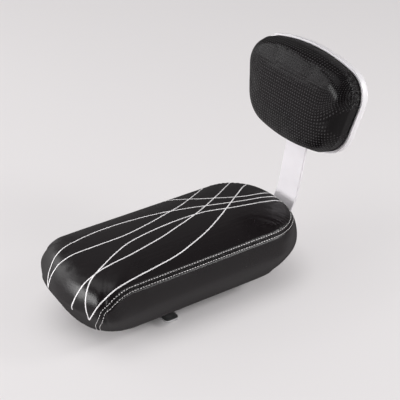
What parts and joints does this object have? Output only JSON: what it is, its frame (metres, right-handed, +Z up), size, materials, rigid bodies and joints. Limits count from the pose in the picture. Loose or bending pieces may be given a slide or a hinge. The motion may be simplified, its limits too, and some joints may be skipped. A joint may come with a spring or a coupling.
{
  "type": "rear rack cushion seat",
  "caption": "Padded black bicycle rear rack seat on a moulded base with rack clamp plates, and a padded backrest with a white shell on a bent flat steel bar.",
  "frame": {"origin": "on the rack plane, the underside of the moulded base, midway along the cushion and across it", "axes": "+X across the seat to the rider's right, +Y to the rear where the backrest stands, +Z up"},
  "size_m": [0.1908, 0.3868, 0.2781],
  "materials": {
    "black_vinyl": "satin",
    "dotted_vinyl": "gloss",
    "white_painted_steel": "satin",
    "white_shell": "gloss",
    "black_base": "matte",
    "foam": "matte",
    "plywood": "matte",
    "zinc_steel": "satin"
  },
  "bodies": {
    "root": {"seat_top_panel": "black_vinyl", "seat_side_band": "black_vinyl", "backrest_cover": "dotted_vinyl", "backrest_bar": "white_painted_steel", "backrest_shell": "white_shell", "seat_base": "black_base", "seat_foam": "foam", "backrest_foam": "foam", "backrest_board": "plywood", "seat_staples": "zinc_steel", "clamp_tee_nuts": "zinc_steel", "bar_tee_nuts": "zinc_steel", "bar_bolts": "zinc_steel", "bar_washers": "zinc_steel", "front_clamp_plate": "zinc_steel", "rear_clamp_plate": "zinc_steel", "clamp_bolts": "zinc_steel", "clamp_washers": "zinc_steel", "backrest_staples": "zinc_steel", "backrest_tee_nuts": "zinc_steel", "backrest_bolts": "zinc_steel", "backrest_washers": "zinc_steel", "shell_screws": "zinc_steel"}
  },
  "joints": []
}
